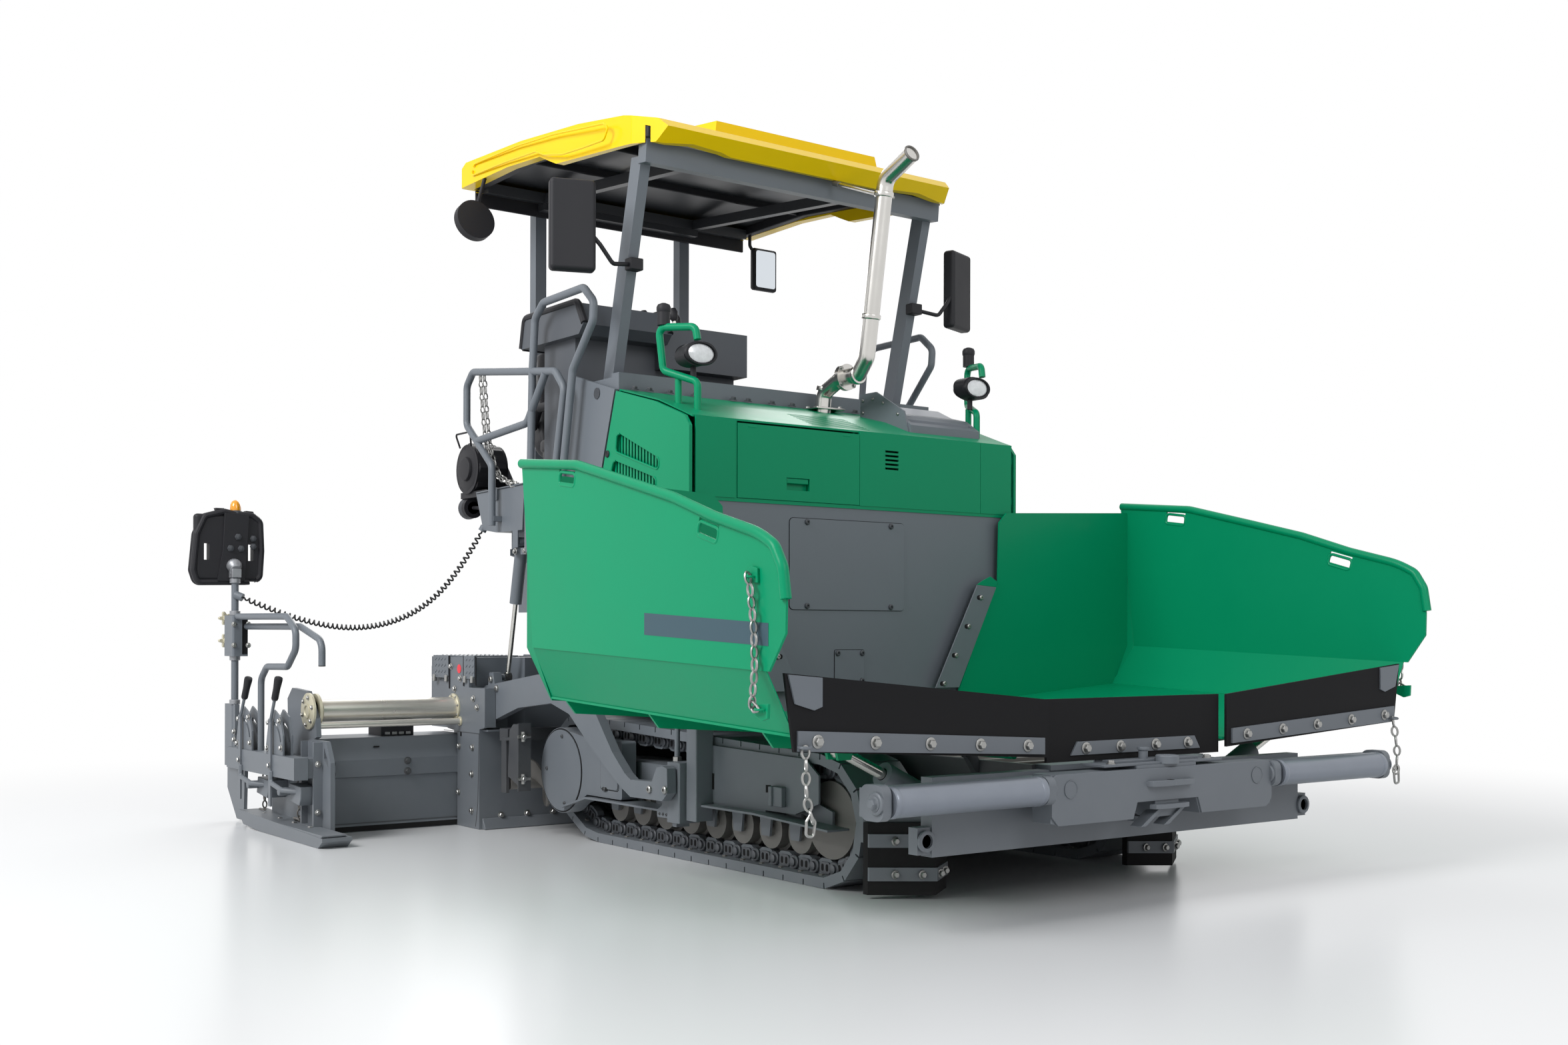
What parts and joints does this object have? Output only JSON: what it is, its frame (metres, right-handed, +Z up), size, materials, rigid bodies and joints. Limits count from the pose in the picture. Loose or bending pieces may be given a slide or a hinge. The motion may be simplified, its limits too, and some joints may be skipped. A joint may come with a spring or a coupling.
{
  "type": "tracked asphalt paver",
  "caption": "Compact tracked asphalt paver with folding hopper wings, push rollers, roofed platform, tow arms and an extending screed with augers.",
  "frame": {"origin": "on the ground under the middle of the machine's whole length and width", "axes": "+X forward towards the hopper, +Y to the machine's left, +Z up"},
  "size_m": [4.3575, 3.956, 3.2258],
  "materials": {
    "green_paint": "satin",
    "grey_paint": "satin",
    "frame_paint": "satin",
    "worn_steel": "worn",
    "bright_tube": "polished",
    "stainless": "brushed",
    "track_steel": "worn",
    "skirt_rubber": "matte",
    "black_plastic": "matte",
    "cast_engine": "cast",
    "roof_plastic": "satin",
    "grey_plastic": "matte",
    "seat_cover": "matte",
    "cord_rubber": "matte"
  },
  "bodies": {
    "root": {"chassis_frame": "frame_paint", "track_frames": "frame_paint", "track_left": "track_steel", "track_right": "track_steel", "track_rollers": "worn_steel", "track_deflectors": "skirt_rubber", "front_crossbeam": "frame_paint", "engine": "cast_engine", "conveyor": "worn_steel", "front_wall": "grey_paint", "hood_shell": "green_paint", "side_panels": "grey_paint", "exhaust_pipe": "stainless", "air_cowl": "grey_paint", "platform": "frame_paint", "console": "black_plastic", "seats": "seat_cover", "rear_kit": "black_plastic", "roof_shell": "roof_plastic", "roof_lining": "grey_plastic", "roof_posts": "grey_paint", "handrails": "frame_paint", "lamp_brackets": "green_paint", "headlamps": "black_plastic", "mirrors": "black_plastic", "auger_drive": "frame_paint", "centre_apron": "skirt_rubber"},
    "hood_flap": {"hood_flap": "green_paint"},
    "push_beam": {"push_beam": "frame_paint"},
    "tow_carriages": {"tow_carriages": "frame_paint"},
    "screed": {"tow_arms": "frame_paint", "screed_frame": "grey_paint", "cord_right": "cord_rubber"},
    "lift_barrels": {"lift_barrels": "frame_paint"},
    "lift_rods": {"lift_rods": "bright_tube"},
    "side_door_left": {"side_door_left": "green_paint"},
    "wing_left": {"wing_left": "green_paint", "apron_left": "skirt_rubber", "apron_clamp_left": "frame_paint"},
    "wing_barrel_left": {"wing_barrel_left": "frame_paint"},
    "wing_rod_left": {"wing_rod_left": "bright_tube"},
    "push_roller_left": {"push_roller_left": "worn_steel"},
    "screed_ext_left": {"guide_tube_left": "bright_tube", "extension_left": "grey_paint", "end_gate_left": "frame_paint", "control_panel_left": "black_plastic"},
    "auger_left": {"auger_left": "worn_steel"},
    "side_door_right": {"side_door_right": "green_paint"},
    "wing_right": {"wing_right": "green_paint", "apron_right": "skirt_rubber", "apron_clamp_right": "frame_paint"},
    "wing_barrel_right": {"wing_barrel_right": "frame_paint"},
    "wing_rod_right": {"wing_rod_right": "bright_tube"},
    "push_roller_right": {"push_roller_right": "worn_steel"},
    "screed_ext_right": {"guide_tube_right": "bright_tube", "extension_right": "grey_paint", "end_gate_right": "frame_paint", "control_panel_right": "black_plastic"},
    "auger_right": {"auger_right": "worn_steel"}
  },
  "joints": [
    {"name": "wing_left_fold", "type": "hinge", "parent": "root", "child": "wing_left", "pos_m": [1.26125, 0.484, 0.502], "axis": [1, 0, 0], "range_deg": [0, 43]},
    {"name": "wing_left_barrel", "type": "hinge", "parent": "root", "child": "wing_barrel_left", "pos_m": [1.76125, 0.56, 0.27], "axis": [1, 0, 0], "range_deg": [0, 37.19]},
    {"name": "wing_left_rod", "type": "slide", "parent": "wing_barrel_left", "child": "wing_rod_left", "axis": [0, 0.9039, 0.4277], "range_m": [0, 0.1637]},
    {"name": "wing_right_fold", "type": "hinge", "parent": "root", "child": "wing_right", "pos_m": [1.26125, -0.484, 0.502], "axis": [-1, 0, 0], "range_deg": [0, 43]},
    {"name": "wing_right_barrel", "type": "hinge", "parent": "root", "child": "wing_barrel_right", "pos_m": [1.76125, -0.56, 0.27], "axis": [-1, 0, 0], "range_deg": [0, 37.19]},
    {"name": "wing_right_rod", "type": "slide", "parent": "wing_barrel_right", "child": "wing_rod_right", "axis": [0, -0.9039, 0.4277], "range_m": [0, 0.1637]},
    {"name": "push_beam_swing", "type": "hinge", "parent": "root", "child": "push_beam", "pos_m": [2.02525, 0, 0.35], "axis": [0, 0, 1], "range_deg": [-3, 3]},
    {"name": "push_roller_left_spin", "type": "hinge", "parent": "push_beam", "child": "push_roller_left", "pos_m": [2.13125, 0.9, 0.406], "axis": [0, 1, 0], "continuous": true},
    {"name": "push_roller_right_spin", "type": "hinge", "parent": "push_beam", "child": "push_roller_right", "pos_m": [2.13125, -0.9, 0.406], "axis": [0, 1, 0], "continuous": true},
    {"name": "tow_point_lift", "type": "slide", "parent": "root", "child": "tow_carriages", "axis": [0, 0, 1], "range_m": [0, 0.12], "deforming": ["cord_right"]},
    {"name": "screed_lift", "type": "hinge", "parent": "tow_carriages", "child": "screed", "pos_m": [0.43125, 0, 0.3], "axis": [0, 1, 0], "range_deg": [0, 8], "deforming": ["cord_right"]},
    {"name": "lift_barrel_turn", "type": "hinge", "parent": "root", "child": "lift_barrels", "pos_m": [-0.88875, 0, 1.318], "axis": [0, 1, 0], "range_deg": [-3.32, 0]},
    {"name": "lift_rod_slide", "type": "slide", "parent": "lift_barrels", "child": "lift_rods", "axis": [0.2209, 0, 0.9753], "range_m": [0, 0.2111]},
    {"name": "screed_ext_left", "type": "slide", "parent": "screed", "child": "screed_ext_left", "axis": [0, -1, 0], "range_m": [0, 0.67]},
    {"name": "auger_left_spin", "type": "hinge", "parent": "root", "child": "auger_left", "pos_m": [-0.88175, 0.5, 0.222], "axis": [0, 1, 0], "continuous": true},
    {"name": "side_door_left_swing", "type": "hinge", "parent": "root", "child": "side_door_left", "pos_m": [0.51325, 0.872, 1.65], "axis": [0, 0, -1], "range_deg": [0, 75]},
    {"name": "screed_ext_right", "type": "slide", "parent": "screed", "child": "screed_ext_right", "axis": [0, 1, 0], "range_m": [0, 0.67], "deforming": ["cord_right"]},
    {"name": "auger_right_spin", "type": "hinge", "parent": "root", "child": "auger_right", "pos_m": [-0.88175, -0.5, 0.222], "axis": [0, 1, 0], "continuous": true},
    {"name": "side_door_right_swing", "type": "hinge", "parent": "root", "child": "side_door_right", "pos_m": [0.51325, -0.872, 1.65], "axis": [0, 0, 1], "range_deg": [0, 75]},
    {"name": "hood_flap_lift", "type": "hinge", "parent": "root", "child": "hood_flap", "pos_m": [0.52125, -0.35, 1.727], "axis": [0, 1, 0], "range_deg": [-80, 0]}
  ],
  "couplings": [
    {"joint": "wing_left_barrel", "follows": "wing_left_fold", "ratio": 0.8532},
    {"joint": "wing_left_rod", "follows": "wing_left_fold", "m_per_rad": 0.21549},
    {"joint": "wing_right_barrel", "follows": "wing_right_fold", "ratio": 0.8532},
    {"joint": "wing_right_rod", "follows": "wing_right_fold", "m_per_rad": 0.21549},
    {"joint": "lift_barrel_turn", "follows": "screed_lift", "ratio": -0.4071},
    {"joint": "lift_rod_slide", "follows": "screed_lift", "m_per_rad": 1.4978}
  ]
}
